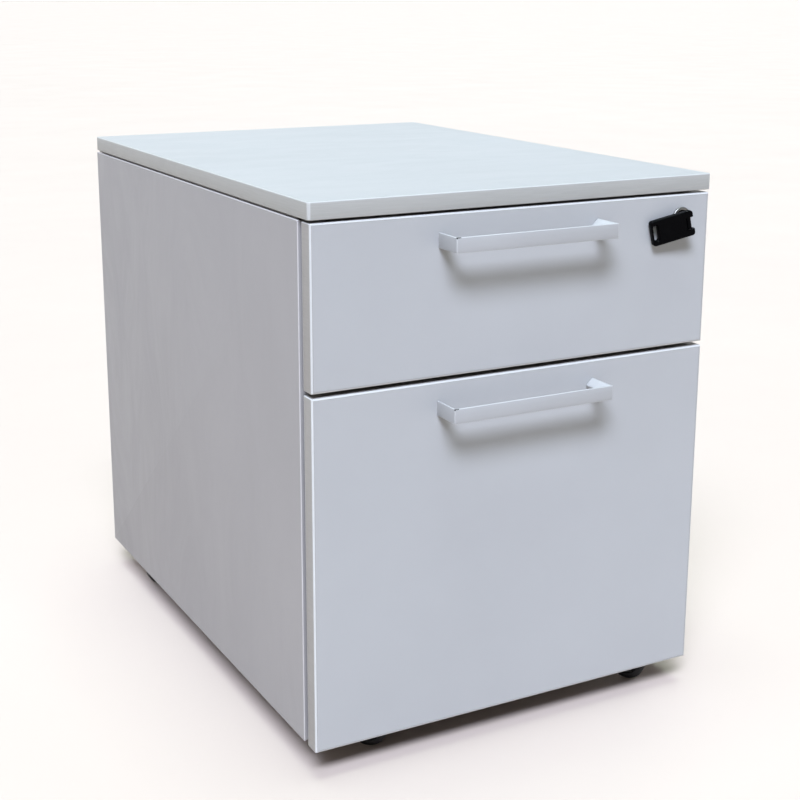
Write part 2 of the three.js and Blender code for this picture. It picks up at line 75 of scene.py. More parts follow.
def joined(loops, ring=False):
    """Joins equal loops of points with quads. A ring closes on itself, anything else is capped."""
    bm = bmesh.new()
    rings = [[bm.verts.new(p) for p in loop] for loop in loops]
    count = len(rings[0])
    pairs = list(zip(rings, rings[1:]))
    if ring:
        pairs.append((rings[-1], rings[0]))
    for first, second in pairs:
        for i in range(count):
            j = (i + 1) % count
            bm.faces.new((first[i], first[j], second[j], second[i]))
    if not ring:
        bm.faces.new(rings[0][::-1])
        bm.faces.new(rings[-1])
    return bm


def rounded(a0, a1, b0, b1, radius, steps):
    """Points of a rectangle with rounded corners."""
    points = []
    corners = ((a1, b0, -90), (a1, b1, 0), (a0, b1, 90), (a0, b0, 180))
    for a, b, start in corners:
        centre_a = a - radius if a == a1 else a + radius
        centre_b = b - radius if b == b1 else b + radius
        for k in range(steps + 1):
            angle = math.radians(start + 90 * k / steps)
            points.append((centre_a + radius * math.cos(angle), centre_b + radius * math.sin(angle)))
    return points


def stack(rect, radius, axis, levels, ring=False, steps=4):
    """A rounded rectangle repeated at (inset, level) pairs along the axis."""
    (a0, a1), (b0, b1) = rect
    loops = []
    for inset, level in levels:
        corner = max(radius - inset, 0.1 * MM)
        outline = rounded(a0 + inset, a1 - inset, b0 + inset, b1 - inset, corner, steps)
        loops.append(in_plane(outline, axis, level))
    return joined(loops, ring)


def quarter(steps):
    """Angles of a quarter turn, from 0 to 90 degrees."""
    return [math.pi / 2 * k / steps for k in range(steps + 1)]


def roll(radius, edge, inward, steps):
    """(inset, level) pairs of a rolled edge, from its end on the face to the side. Inward is 1 or -1."""
    return [
        (radius - radius * math.sin(t), edge + inward * (radius - radius * math.cos(t)))
        for t in quarter(steps)
    ]


def arris(lo, hi, edge, steps):
    """(inset, level) pairs from lo to hi with both edges rounded."""
    low = roll(edge, lo, 1, steps)
    high = [(inset, hi + lo - level) for inset, level in reversed(low)]
    return low + high


def unit(v):
    return v / v.length


def fillet(before, corner, after, radius, steps):
    """Points of the arc that rounds a corner of a path."""
    u, v = unit(before - corner), unit(after - corner)
    half = math.acos(max(-1.0, min(1.0, u.dot(v)))) / 2
    if half > math.pi / 2 - 1e-3:
        return [corner]
    centre = corner + unit(u + v) * (radius / math.sin(half))
    first = corner + u * (radius / math.tan(half)) - centre
    last = corner + v * (radius / math.tan(half)) - centre
    sweep = first.angle_signed(last)
    points = []
    for k in range(steps + 1):
        turn = Matrix.Rotation(-sweep * k / steps, 2)
        points.append(centre + turn @ first)
    return points


def fold(path, thick, radius, steps=4):
    """Outline of a folded sheet: its middle line, rounded at the bends, offset to both faces."""
    corners = [Vector(p) for p in path]
    line = [corners[0]]
    for before, corner, after in zip(corners, corners[1:], corners[2:]):
        line += fillet(before, corner, after, radius, steps)
    line.append(corners[-1])
    faces = ([], [])
    for i, point in enumerate(line):
        back = unit(point - line[i - 1]) if i else unit(line[1] - point)
        ahead = unit(line[i + 1] - point) if i + 1 < len(line) else back
        along = unit(back + ahead)
        normal = Vector((-along.y, along.x)) * (thick / 2 / max(along.dot(ahead), 0.3))
        faces[0].append(tuple(point + normal))
        faces[1].append(tuple(point - normal))
    return faces[0] + faces[1][::-1]


def extrude(outline, axis, lo, hi):
    return joined([in_plane(outline, axis, lo), in_plane(outline, axis, hi)])


def turned(profile, segments, place=None):
    """A turned shape about Z from (radius, height) points. It starts and ends on the axis, or is a tube."""
    bm = bmesh.new()
    place = place or Matrix.Identity(4)
    rings = []
    for radius, height in profile:
        if radius < 1e-7:
            rings.append([bm.verts.new(place @ Vector((0, 0, height)))])
            continue
        ring = []
        for k in range(segments):
            angle = 2 * math.pi * k / segments
            point = Vector((radius * math.cos(angle), radius * math.sin(angle), height))
            ring.append(bm.verts.new(place @ point))
        rings.append(ring)
    pairs = list(zip(rings, rings[1:]))
    if len(rings[0]) > 1 and len(rings[-1]) > 1:
        pairs.append((rings[-1], rings[0]))
    for first, second in pairs:
        for k in range(segments):
            n = (k + 1) % segments
            quad = ((first, k), (first, n), (second, n), (second, k))
            corners = [ring[i % len(ring)] for ring, i in quad]
            bm.faces.new(list(dict.fromkeys(corners)))
    return bm


def cylinder(radius, lo, hi, segments, place=None):
    return turned([(0.0, lo), (radius, lo), (radius, hi), (0.0, hi)], segments, place)


def soften(bm, width, segments=2, least_angle=40):
    """Rounds every edge sharper than the angle."""
    bmesh.ops.recalc_face_normals(bm, faces=bm.faces)
    edges = [e for e in bm.edges if e.is_manifold and e.calc_face_angle(0) > math.radians(least_angle)]
    bmesh.ops.bevel(
        bm, geom=edges, offset=width, segments=segments, profile=0.5, affect="EDGES", clamp_overlap=True
    )
    return bm


def block(x0, x1, y0, y1, z0, z1, edge=0.0):
    part = extrude([(x0, y0), (x1, y0), (x1, y1), (x0, y1)], "z", z0, z1)
    return soften(part, edge) if edge else part


def merge(bm, *others):
    for other in others:
        mesh = bpy.data.meshes.new("merge")
        other.to_mesh(mesh)
        other.free()
        bm.from_mesh(mesh)
        bpy.data.meshes.remove(mesh)
    return bm


def moved(bm, matrix):
    bmesh.ops.transform(bm, matrix=matrix, verts=bm.verts)
    return bm


def carve(bm, tool, operation="DIFFERENCE"):
    """A boolean with another mesh."""
    objects = []
    for part in (bm, tool):
        bmesh.ops.recalc_face_normals(part, faces=part.faces)
        mesh = bpy.data.meshes.new("carve")
        part.to_mesh(mesh)
        part.free()
        obj = bpy.data.objects.new("carve", mesh)
        bpy.context.scene.collection.objects.link(obj)
        objects.append(obj)
    modifier = objects[0].modifiers.new("carve", "BOOLEAN")
    modifier.operation, modifier.solver, modifier.object = operation, "EXACT", objects[1]
    bpy.context.view_layer.update()
    evaluated = objects[0].evaluated_get(bpy.context.evaluated_depsgraph_get())
    made = bmesh.new()
    made.from_mesh(evaluated.to_mesh())
    evaluated.to_mesh_clear()
    for obj in objects:
        mesh = obj.data
        bpy.data.objects.remove(obj)
        bpy.data.meshes.remove(mesh)
    bmesh.ops.remove_doubles(made, verts=made.verts, dist=1e-6)
    return made


def piece(name, bm, look, body, replaces=()):
    """Turns a mesh into a finished piece: material, body and the nodes that it stands for."""
    bmesh.ops.remove_doubles(bm, verts=bm.verts, dist=1e-7)
    bmesh.ops.dissolve_degenerate(bm, edges=bm.edges, dist=1e-7)
    bmesh.ops.recalc_face_normals(bm, faces=bm.faces)
    mesh = bpy.data.meshes.new(name)
    bm.to_mesh(mesh)
    bm.free()
    mesh.polygons.foreach_set("use_smooth", [True] * len(mesh.polygons))
    mesh.set_sharp_from_angle(angle=SHARP_ANGLE)
    slot, material = LOOKS[look]
    mesh.materials.append(material)
    obj = bpy.data.objects.new(name, mesh)
    bpy.context.scene.collection.objects.link(obj)
    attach(obj, body)
    if replaces:
        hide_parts(*replaces)
    return obj


# -------- materials


def linear(red, green, blue):
    """An sRGB colour, 0 to 255, as linear RGBA."""
    def channel(value):
        value /= 255
        return value / 12.92 if value <= 0.04045 else ((value + 0.055) / 1.055) ** 2.4
    return (channel(red), channel(green), channel(blue), 1.0)


def shade(colour, factor):
    return tuple(min(1.0, c * factor) for c in colour[:3]) + (1.0,)


class Look:
    """A material's node tree, built a step at a time. Textures follow the piece's own coordinates."""

    def __init__(self, name, metallic=0.0, specular=0.5):
        self.material = bpy.data.materials.new(name)
        self.material.use_nodes = True
        self.tree = self.material.node_tree
        self.shader = self.tree.nodes["Principled BSDF"]
        self.shader.inputs["Metallic"].default_value = metallic
        self.shader.inputs["Specular IOR Level"].default_value = specular
        self.coordinates = self.tree.nodes.new("ShaderNodeTexCoord").outputs["Object"]
        self.heights = None

    def node(self, kind, inputs=None, **settings):
        made = self.tree.nodes.new(kind)
        for key, value in settings.items():
            setattr(made, key, value)
        for key, value in (inputs or {}).items():
            self.put(made.inputs[key], value)
        return made

    def put(self, socket, value):
        if isinstance(value, bpy.types.NodeSocket):
            self.tree.links.new(value, socket)
        else:
            socket.default_value = value

    def stretched(self, scale):
        return self.node("ShaderNodeMapping", {"Vector": self.coordinates, "Scale": scale}).outputs[0]

    def noise(self, scale, detail=3.0, roughness=0.5, vector=None, distortion=0.0):
        inputs = {
            "Vector": vector or self.coordinates,
            "Scale": scale,
            "Detail": detail,
            "Roughness": roughness,
            "Distortion": distortion,
        }
        return self.node("ShaderNodeTexNoise", inputs).outputs["Fac"]

    def cells(self, scale):
        inputs = {"Vector": self.coordinates, "Scale": scale}
        return self.node("ShaderNodeTexVoronoi", inputs, feature="F1").outputs["Color"]

    def span(self, value, from_low, from_high, to_low=0.0, to_high=1.0):
        inputs = {0: value, 1: from_low, 2: from_high, 3: to_low, 4: to_high}
        return self.node("ShaderNodeMapRange", inputs).outputs[0]

    def tinted(self, value, colour, dark, pale, low=0.3, high=0.7):
        """The colour, darker where the value is low and paler where it is high."""
        return self.mix(self.span(value, low, high), shade(colour, dark), shade(colour, pale))

    def math(self, operation, first, second=0.0):
        return self.node("ShaderNodeMath", {0: first, 1: second}, operation=operation).outputs[0]

    def mix(self, factor, first, second, blend="MIX"):
        made = self.node("ShaderNodeMix", data_type="RGBA", blend_type=blend)
        self.put(made.inputs[0], factor)
        self.put(made.inputs[6], first)
        self.put(made.inputs[7], second)
        return made.outputs[2]

    def arrises(self, flat=0.995, round_from=0.96):
        """1 where the surface turns away from the piece's own axes, as on a rounded edge, 0 on its faces. It
        masks the highlights painted on rounded edges.
        """
        normal = self.node("ShaderNodeTexCoord").outputs["Normal"]
        split = self.node("ShaderNodeSeparateXYZ", {0: normal})
        parts = [self.math("ABSOLUTE", out) for out in split.outputs]
        steepest = self.math("MAXIMUM", self.math("MAXIMUM", parts[0], parts[1]), parts[2])
        return self.span(steepest, flat, round_from)

    def near(self, point, radius):
        """A ragged spot round a point: 1 inside, 0 outside."""
        away = self.node("ShaderNodeVectorMath", {0: self.coordinates, 1: point}, operation="DISTANCE")
        ragged = self.math("MULTIPLY", self.noise(900.0, 3.0), radius * 0.7)
        reach = self.math("ADD", away.outputs["Value"], ragged)
        return self.span(reach, radius * 1.08, radius * 0.92)

    def bump(self, height, distance):
        """Adds relief of this depth in metres on top of the relief so far."""
        made = self.node("ShaderNodeBump", {"Height": height, "Distance": distance, "Strength": 1.0})
        if self.heights is not None:
            self.put(made.inputs["Normal"], self.heights)
        self.heights = made.outputs[0]

    def done(self, colour, roughness):
        self.put(self.shader.inputs["Base Color"], colour)
        self.put(self.shader.inputs["Roughness"], roughness)
        if self.heights is not None:
            self.put(self.shader.inputs["Normal"], self.heights)
        return self.material


def melamine(name, colour, roughness):
    """Melamine-faced board: a fine pearled grain, faint cloudy tone, and hand smears in the gloss."""
    look = Look(name, specular=0.3)
    clouds = look.noise(5.0, 4.0, 0.6)
    speckle = look.noise(2600.0, 2.0)
    tone = look.tinted(clouds, colour, 0.965, 1.02)
    tone = look.mix(look.span(speckle, 0.35, 0.65, 0.0, 0.35), tone, shade(colour, 0.95))
    smears = look.noise(9.0, 5.0, 0.65, look.stretched((1.0, 2.6, 1.4)), 0.6)
    gloss = look.span(smears, 0.35, 0.7, roughness - 0.03, roughness + 0.04)
    look.bump(look.noise(1100.0, 2.0, 0.4), 0.00003)
    look.bump(look.noise(3.0, 1.0), 0.0004)
    return look.done(tone, gloss)


def edge_band(name, colour, scraped_and_highlight_colour):
    """Plastic edge band: drawn along its length, a little dirty, and paler on its rounded edges, partly
    scraped and partly a painted highlight.
    """
    look = Look(name, specular=0.1)
    drawn = look.noise(60.0, 3.0, 0.6, look.stretched((0.6, 0.6, 14.0)))
    dirt = look.noise(22.0, 5.0, 0.7)
    tone = look.tinted(drawn, colour, 0.97, 1.03, 0.35, 0.65)
    tone = look.mix(look.span(dirt, 0.58, 0.75, 0.0, 0.25), tone, shade(colour, 0.82))
    # Rounded edges: pale from scraping, and lightened further as a painted highlight.
    tone = look.mix(look.arrises(), tone, scraped_and_highlight_colour)
    gloss = look.span(dirt, 0.3, 0.7, 0.28, 0.42)
    look.bump(drawn, 0.00004)
    return look.done(tone, gloss)


def powder_coat(name, colour, roughness, waviness):
    """Powder-coated sheet: orange peel, the sheet's own slight waves, wipe marks in the gloss, and a painted
    highlight on its rounded edges.
    """
    look = Look(name, specular=0.12)
    clouds = look.noise(4.0, 3.0, 0.5)
    pits = look.noise(1900.0, 2.0)
    tone = look.tinted(clouds, colour, 0.97, 1.025)
    tone = look.mix(look.span(pits, 0.62, 0.72, 0.0, 0.4), tone, shade(colour, 0.9))
    # Painted highlight: the rounded edges and bends are lightened in colour.
    tone = look.mix(look.math("MULTIPLY", look.arrises(0.97, 0.9), 0.7), tone, shade(colour, 1.6))
    wipes = look.noise(7.0, 6.0, 0.7, look.stretched((1.0, 1.8, 0.7)), 1.2)
    gloss = look.span(wipes, 0.35, 0.7, roughness - 0.06, roughness + 0.08)
    look.bump(look.noise(520.0, 2.0, 0.45), 0.00004)
    look.bump(look.noise(2.4, 1.0, 0.4, look.stretched((1.0, 2.2, 0.35))), waviness)
    return look.done(tone, gloss)


def handle_paint(name, colour, chips):
    """White enamel, lightened on its rounded edges as a painted highlight, with the metal showing where a
    corner is chipped.
    """
    look = Look(name, specular=0.4)
    clouds = look.noise(14.0, 3.0)
    tone = look.tinted(clouds, colour, 0.97, 1.02)
    grime = look.noise(60.0, 5.0, 0.7)
    tone = look.mix(look.span(grime, 0.6, 0.8, 0.0, 0.1), tone, linear(140, 136, 130))
    # Painted highlight: the rounded edges are lightened in colour.
    tone = look.mix(look.arrises(0.97, 0.9), tone, shade(colour, 1.3))
    worn = None
    for point, radius in chips:
        spot = look.near(point, radius)
        worn = spot if worn is None else look.math("MAXIMUM", worn, spot)
    metal = look.mix(look.noise(500.0), linear(16, 15, 15), linear(52, 50, 48))
    tone = look.mix(worn, tone, metal)
    gloss = look.span(grime, 0.3, 0.7, 0.34, 0.42)
    look.bump(look.noise(420.0, 2.0), 0.00002)
    look.bump(look.math("SUBTRACT", 1.0, worn), 0.00012)
    return look.done(tone, look.mix(worn, gloss, (0.55, 0.55, 0.55, 1.0)))


def zinc(name, colour, roughness, streak):
    """Zinc-plated steel: rolled streaks, small spangle, dull patches."""
    look = Look(name, metallic=1.0)
    spangle = look.cells(170.0)
    streaks = look.noise(240.0, 3.0, 0.6, look.stretched(streak))
    patches = look.noise(28.0, 4.0, 0.6)
    tone = look.tinted(streaks, colour, 0.88, 1.08)
    tone = look.mix(0.06, tone, spangle, "OVERLAY")
    tone = look.mix(look.span(patches, 0.6, 0.8, 0.0, 0.35), tone, linear(150, 146, 138))
    gloss = look.span(patches, 0.3, 0.7, roughness - 0.07, roughness + 0.12)
    look.bump(streaks, 0.00002)
    return look.done(tone, gloss)


def nickel(name, colour, roughness):
    """Satin plated or bare metal with fine scratches."""
    look = Look(name, metallic=1.0)
    scratches = look.noise(700.0, 3.0, 0.7, look.stretched((1.0, 0.3, 1.0)))
    tone = look.tinted(scratches, colour, 0.9, 1.06)
    gloss = look.span(look.noise(60.0, 4.0), 0.3, 0.7, roughness - 0.06, roughness + 0.08)
    look.bump(scratches, 0.000012)
    return look.done(tone, gloss)


def black_plastic(name, colour, roughness, scuff, specular):
    """Moulded plastic: slight texture, pale scuffs and dust."""
    look = Look(name, specular=specular)
    dust = look.noise(55.0, 5.0, 0.7)
    scratches = look.noise(320.0, 4.0, 0.75, look.stretched((1.0, 0.25, 2.0)))
    tone = look.mix(look.span(dust, 0.55, 0.85, 0.0, scuff), colour, linear(92, 90, 86))
    tone = look.mix(look.span(scratches, 0.66, 0.75, 0.0, scuff * 0.6), tone, linear(120, 118, 114))
    gloss = look.span(dust, 0.3, 0.75, roughness - 0.06, roughness + 0.14)
    look.bump(look.noise(900.0, 2.0), 0.00002)
    return look.done(tone, gloss)


def floor_paint(name, colour):
    look = Look(name)
    tone = look.tinted(look.noise(0.8, 3.0), colour, 0.99, 1.01)
    look.bump(look.noise(40.0, 2.0), 0.0001)
    return look.done(tone, look.span(look.noise(3.0), 0.3, 0.7, 0.75, 0.9))


def chip_places():
    """The front left top corner of each handle, where the paint is knocked off."""
    # offset from the corner and radius, in mm
    chips = (((0.3, 0.3, -0.2), 1.8), ((2.2, 0.2, -0.1), 1.3), ((3.8, 0.2, -0.1), 1.0))
    places = []
    for row in ROWS:
        lo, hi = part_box(row + "_handle")
        corner = Vector((lo.x, lo.y, hi.z))
        places += [(corner + Vector(offset) * MM, radius * MM) for offset, radius in chips]
    return places


# Each look's slot and material.
LOOKS = {
    "top_board": ("top_board", melamine("top_melamine", linear(148, 148, 148), 0.46)),
    "top_band": ("top_board", edge_band("top_edge_band", linear(141, 140, 136), linear(156, 156, 154))),
    "front_board": ("front_board", melamine("front_melamine", linear(148, 148, 148), 0.44)),
    "front_band": ("front_board", edge_band("front_edge_band", linear(135, 132, 128), linear(168, 168, 167))),
    "carcass": ("carcass_paint", powder_coat("carcass_powder_coat", linear(135, 132, 131), 0.42, 0.0007)),
    "drawer": ("drawer_paint", powder_coat("drawer_powder_coat", linear(158, 158, 160), 0.42, 0.0003)),
    "handle": ("handle_paint", handle_paint("handle_enamel", linear(143, 143, 143), chip_places())),
    "zinc": ("zinc", zinc("zinc_plate", linear(196, 198, 202), 0.34, (1.0, 0.12, 1.0))),
    "bright": ("zinc", zinc("bright_screws", linear(188, 188, 190), 0.28, (1.0, 1.0, 1.0))),
    "nickel": ("chrome", nickel("satin_nickel", linear(128, 126, 123), 0.42)),
    "dark_plug": ("chrome", nickel("blackened_plug", linear(38, 38, 38), 0.34)),
    "key_steel": ("zinc", nickel("key_steel", linear(96, 95, 93), 0.3)),
    "key_plastic": ("key_plastic", black_plastic("key_gloss_plastic", linear(1, 1, 2), 0.26, 0.01, 0.04)),
    "wheel": ("wheel_plastic", black_plastic("wheel_nylon", linear(10, 10, 11), 0.5, 0.25, 0.3)),
    "caster_paint": ("caster_paint", black_plastic("caster_black_paint", linear(21, 21, 22), 0.38, 0.4, 0.5)),
}


# -------- fasteners


AXES = {
    "+x": Matrix.Rotation(math.radians(90), 4, "Y"),
    "-x": Matrix.Rotation(math.radians(-90), 4, "Y"),
    "+y": Matrix.Rotation(math.radians(-90), 4, "X"),
    "-y": Matrix.Rotation(math.radians(90), 4, "X"),
    "-z": Matrix.Rotation(math.radians(180), 4, "X"),
}


def placed(point, axis, spin=0.0):
    """Turns +Z to the named axis, after a spin about it, and moves it to the point."""
    return Matrix.Translation(point) @ AXES[axis] @ Matrix.Rotation(spin, 4, "Z")


def pan_head(point, axis, radius, height):
    """A pan head with a cross recess, standing on the point, at a random turn."""
    foot = -0.3 * MM
    dome = [(radius * math.cos(t) ** 0.6, height * math.sin(t)) for t in quarter(4)[:-1]]
    head = turned([(0.0, foot), (radius, foot)] + dome + [(0.0, height)], 24)
    arm, width, floor = radius * 0.62, radius * 0.13, height * 0.45
    cross = block(-arm, arm, -width, width, floor, height + MM)
    cross = carve(cross, block(-width, width, -arm, arm, floor, height + MM), "UNION")
    return moved(carve(head, cross), placed(point, axis, rng.uniform(0, math.pi)))


def rivet_head(point, axis, radius, height):
    profile = [(0.0, 0.0), (radius, 0.0), (radius, height * 0.35), (radius * 0.75, height * 0.9)]
    profile += [(radius * 0.34, height), (radius * 0.28, height * 0.45), (0.0, height * 0.45)]
    return turned(profile, 20, placed(point, axis))


def hexagon(point, axis, across, height):
    """A hexagonal head or nut with its top corners chamfered."""
    radius = across / math.sqrt(3)
    turns = [math.radians(60 * k) for k in range(6)]
    head = extrude([(radius * math.cos(t), radius * math.sin(t)) for t in turns], "z", 0.0, height)
    wide, chamfer = radius * 1.2, radius * 0.86
    cone = turned([(0.0, -MM), (wide, -MM), (wide, height * 0.55), (chamfer, height), (0.0, height)], 36)
    return moved(carve(head, cone, "INTERSECT"), placed(point, axis))


# -------- boards


def banded_board(node, axis, corner, edge):
    """A board with melamine faces and an edge band round it. The axis runs through its thickness."""
    lo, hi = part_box(node)
    order = {"y": (0, 2, 1), "z": (0, 1, 2)}[axis]
    rect = tuple((lo[i], hi[i]) for i in order[:2])
    near, far = lo[order[2]], hi[order[2]]
    gap = 0.05 * MM
    inner = tuple((a + BAND + gap, b - BAND - gap) for a, b in rect)
    board_corner = max(corner - BAND, 0.2 * MM)
    board = stack(inner, board_corner, axis, arris(near, far, 0.12 * MM, 1))
    section = [(BAND, near + gap)] + arris(near + gap, far - gap, edge, 4) + [(BAND, far - gap)]
    band = stack(rect, corner, axis, section, ring=True, steps=6)
    return board, band


def top_panel():
    board, band = banded_board("top_panel", "z", 3 * MM, 1.2 * MM)
    piece("top_panel_board", board, "top_board", "carcass", ["top_panel"])
    piece("top_panel_edge_band", band, "top_band", "carcass")


def drawer_front(row, hole=None):
    node = row + "_drawer_front"
    board, band = banded_board(node, "y", 1.0 * MM, 1.8 * MM)
    if hole:
        board = carve(board, hole)
    piece(node + "_board", board, "front_board", row + "_drawer", [node])
    piece(node + "_edge_band", band, "front_band", row + "_drawer")


# -------- carcass


def outer_and_inner(lo, hi, side):
    return (hi.x, lo.x) if side > 0 else (lo.x, hi.x)


def side_panel(name, side):
    """A pan of sheet steel with rolled edges, and the returns that carry the slides."""
    lo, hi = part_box(name + "_side_panel")
    outer, inner = outer_and_inner(lo, hi, side)
    radius = 1.2 * MM
    joggle, joggle_x = 1.1 * MM, outer - side * 5 * MM
    levels = roll(radius, outer, -side, 5) + [(joggle, joggle_x), (joggle, inner)]
    levels += [(joggle + SHEET, inner), (joggle + SHEET, joggle_x), (SHEET * 1.6, outer - side * SHEET)]
    pan = stack(((lo.y, hi.y), (lo.z, hi.z)), radius, "x", levels)
    x0, x1 = sorted((inner, inner + side * SHEET))
    front_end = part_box("front_top_rail")[0].y + 7 * MM
    rear_end = hi.y - 75 * MM
    gap, edge = 0.2 * MM, 0.25 * MM
    strips = [block(x0, x1, y0, y1, lo.z + MM, hi.z - MM, edge)
              for y0, y1 in ((lo.y + gap, front_end), (rear_end, hi.y - gap))]
    piece(name + "_side_pan", pan, "carcass", "carcass", [name + "_side_panel"])
    piece(name + "_side_returns", merge(*strips), "carcass", "carcass")


def back_panel():
    lo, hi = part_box("back_panel")
    half = SHEET / 2
    left, right, back = lo.x + half, hi.x - half, hi.y - half
    path = [(left, lo.y), (left, back), (right, back), (right, lo.y)]
    sheet = extrude(fold(path, SHEET, 1.6 * MM), "z", lo.z, hi.z)
    piece("back_panel_sheet", sheet, "carcass", "carcass", ["back_panel"])
    rivets = []
    heights = (lo.z + 22 * MM, (lo.z + hi.z) / 2, hi.z - 16 * MM)
    for x in (lo.x + 22 * MM, hi.x - 22 * MM):
        rivets += [rivet_head((x, hi.y, z), "+y", 3.2 * MM, 0.9 * MM) for z in heights]
    piece("back_panel_rivets", merge(*rivets), "bright", "carcass")


def spacer_strip(name, side):
    """A strip on the side's top flange, which closes the gap under the top panel."""
    lo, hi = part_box(name + "_side_panel")
    outer = outer_and_inner(lo, hi, side)[0]
    x0, x1 = sorted((outer - side * 3 * MM, outer - side * 12 * MM))
    under_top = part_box("top_panel")[0].z
    strip = block(x0, x1, lo.y + 6 * MM, hi.y - 2 * MM, hi.z, under_top, 0.3 * MM)
    piece(name + "_spacer_strip", strip, "carcass", "carcass")


def base_pan():
    lo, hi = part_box("base_pan")
    radius, thick = 2 * MM, DRAWER_SHEET
    levels = roll(radius, lo.z, 1, 4) + [(0.0, hi.z), (thick, hi.z), (thick, lo.z + thick)]
    tray = stack(((lo.x, hi.x), (lo.y, hi.y)), radius, "z", levels)
    piece("base_pan_tray", tray, "carcass", "carcass", ["base_pan"])


def top_rail(end):
    """An open channel under the top panel, with the screws that hold the panel from below."""
    name = end + "_top_rail"
    lo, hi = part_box(name)
    half = DRAWER_SHEET / 2
    front, back, top = lo.y + half, hi.y - half, hi.z - half
    path = [(front, lo.z), (front, top), (back, top), (back, lo.z)]
    channel = extrude(fold(path, DRAWER_SHEET, 1.8 * MM), "x", lo.x, hi.x)
    piece(name + "_channel", channel, "carcass", "carcass", [name])
    middle, under, reach = (lo.y + hi.y) / 2, hi.z - DRAWER_SHEET, 150 * MM
    screws = [pan_head((x, middle, under), "-z", 4 * MM, 2.4 * MM) for x in (-reach, reach)]
    piece(name + "_screws", merge(*screws), "bright", "carcass")


# -------- slides


def member_section(lo, hi, side, member):
    """The member's folded section: an upright web with a lip at its foot and its top."""
    web, lip = (lo.x, hi.x) if (side < 0) == (member != "inner") else (hi.x, lo.x)
    half = DRAWER_SHEET / 2
    middle = web + (half if lip > web else -half)
    low, high = lo.z + half, hi.z - half
    return fold([(lip, low), (middle, low), (middle, high), (lip, high)], DRAWER_SHEET, 2.2 * MM, 5)


def slide(row, name, side):
    """The three slotted members of one slide, its screws, and its balls in their cages."""
    stem = f"{row}_{name}_slide_"
    bodies = {"outer": "carcass", "middle": row + "_slide_middles", "inner": row + "_drawer"}
    slots, half_length, half_height = 6, 7 * MM, 3 * MM
    for member, body in bodies.items():
        lo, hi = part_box(stem + member)
        metal = extrude(member_section(lo, hi, side, member), "y", lo.y, hi.y)
        z = (lo.z + hi.z) / 2
        spacing = (hi.y - lo.y) / slots
        through = [(0.0, lo.x - MM), (0.0, hi.x + MM)]
        tools = bmesh.new()
        for k in range(slots):
            y = lo.y + spacing * (k + 0.5)
            slot = ((y - half_length, y + half_length), (z - half_height, z + half_height))
            tools = merge(tools, stack(slot, half_height - 0.01 * MM, "x", through, steps=5))
        piece(stem + member + "_member", carve(metal, tools), "zinc", body, [stem + member])
    slide_screws(stem, side, row)
    ball_cages(stem, row)


def slide_screws(stem, side, row):
    """Two screws into the carcass, in the outer member, and three into the drawer, in the inner member."""
    into_side, into_box = ("-x", "+x") if side > 0 else ("+x", "-x")
    lo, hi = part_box(stem + "outer")
    web = outer_and_inner(lo, hi, side)[0] - side * DRAWER_SHEET
    z = (lo.z + hi.z) / 2
    places = (lo.y + 5 * MM, hi.y - 6 * MM)
    heads = [pan_head((web, y, z + 9 * MM), into_side, 3.4 * MM, 1.6 * MM) for y in places]
    piece(stem + "carcass_screws", merge(*heads), "bright", "carcass")
    lo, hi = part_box(stem + "inner")
    web = outer_and_inner(lo, hi, side)[1] + side * DRAWER_SHEET
    places = (lo.y + 45 * MM, (lo.y + hi.y) / 2, hi.y - 45 * MM)
    heads = [pan_head((web, y, z + 7.5 * MM), into_box, 3.2 * MM, 1.5 * MM) for y in places]
    piece(stem + "drawer_screws", merge(*heads), "bright", row + "_drawer")


def ball_cages(stem, row):
    """Steel balls in pressed strips, between each two members, at their foot and at their top."""
    pairs = (("outer", "middle", "carcass"), ("middle", "inner", row + "_slide_middles"))
    half_width, half_thick, pitch = 1.7 * MM, 0.35 * MM, 14.5 * MM
    for outside, inside, body in pairs:
        outer_lo, outer_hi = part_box(stem + outside)
        inner_lo, inner_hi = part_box(stem + inside)
        x = (max(outer_lo.x, inner_lo.x) + min(outer_hi.x, inner_hi.x)) / 2
        y0, y1 = outer_lo.y + 12 * MM, outer_lo.y + 190 * MM
        parts = []
        for outer_z, inner_z in ((outer_lo.z, inner_lo.z), (outer_hi.z, inner_hi.z)):
            z = (outer_z + inner_z) / 2 + (0.6 * MM if outer_z < inner_z else -0.6 * MM)
            strip = (x - half_width, x + half_width, y0, y1, z - half_thick, z + half_thick)
            parts.append(block(*strip, 0.1 * MM))
            for k in range(12):
                ball = bmesh.new()
                centre = Matrix.Translation((x, y0 + 8 * MM + pitch * k, z))
                bmesh.ops.create_uvsphere(ball, u_segments=12, v_segments=8, radius=1.25 * MM, matrix=centre)
                parts.append(ball)
        piece(f"{stem}{outside}_ball_cage", merge(*parts), "bright", body)


# -------- drawers


HEM = 1.25 * MM
HEM_HEIGHT = 8 * MM


def drawer_shell(row):
    """Both sides and the bottom in one folded sheet, with a hem inwards along each top edge."""
    lo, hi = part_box(row + "_drawer_shell")
    half = DRAWER_SHEET / 2
    left, right, top, hem_end = lo.x + half, hi.x - half, hi.z - half, hi.z - HEM_HEIGHT
    path = [(left + HEM, hem_end), (left + HEM, top), (left, top), (left, lo.z + half)]
    path += [(right, lo.z + half), (right, top), (right - HEM, top), (right - HEM, hem_end)]
    shell = extrude(fold(path, DRAWER_SHEET, 0.62 * MM, 5), "y", lo.y, hi.y)
    piece(row + "_drawer_shell_sheet", shell, "drawer", row + "_drawer", [row + "_drawer_shell"])


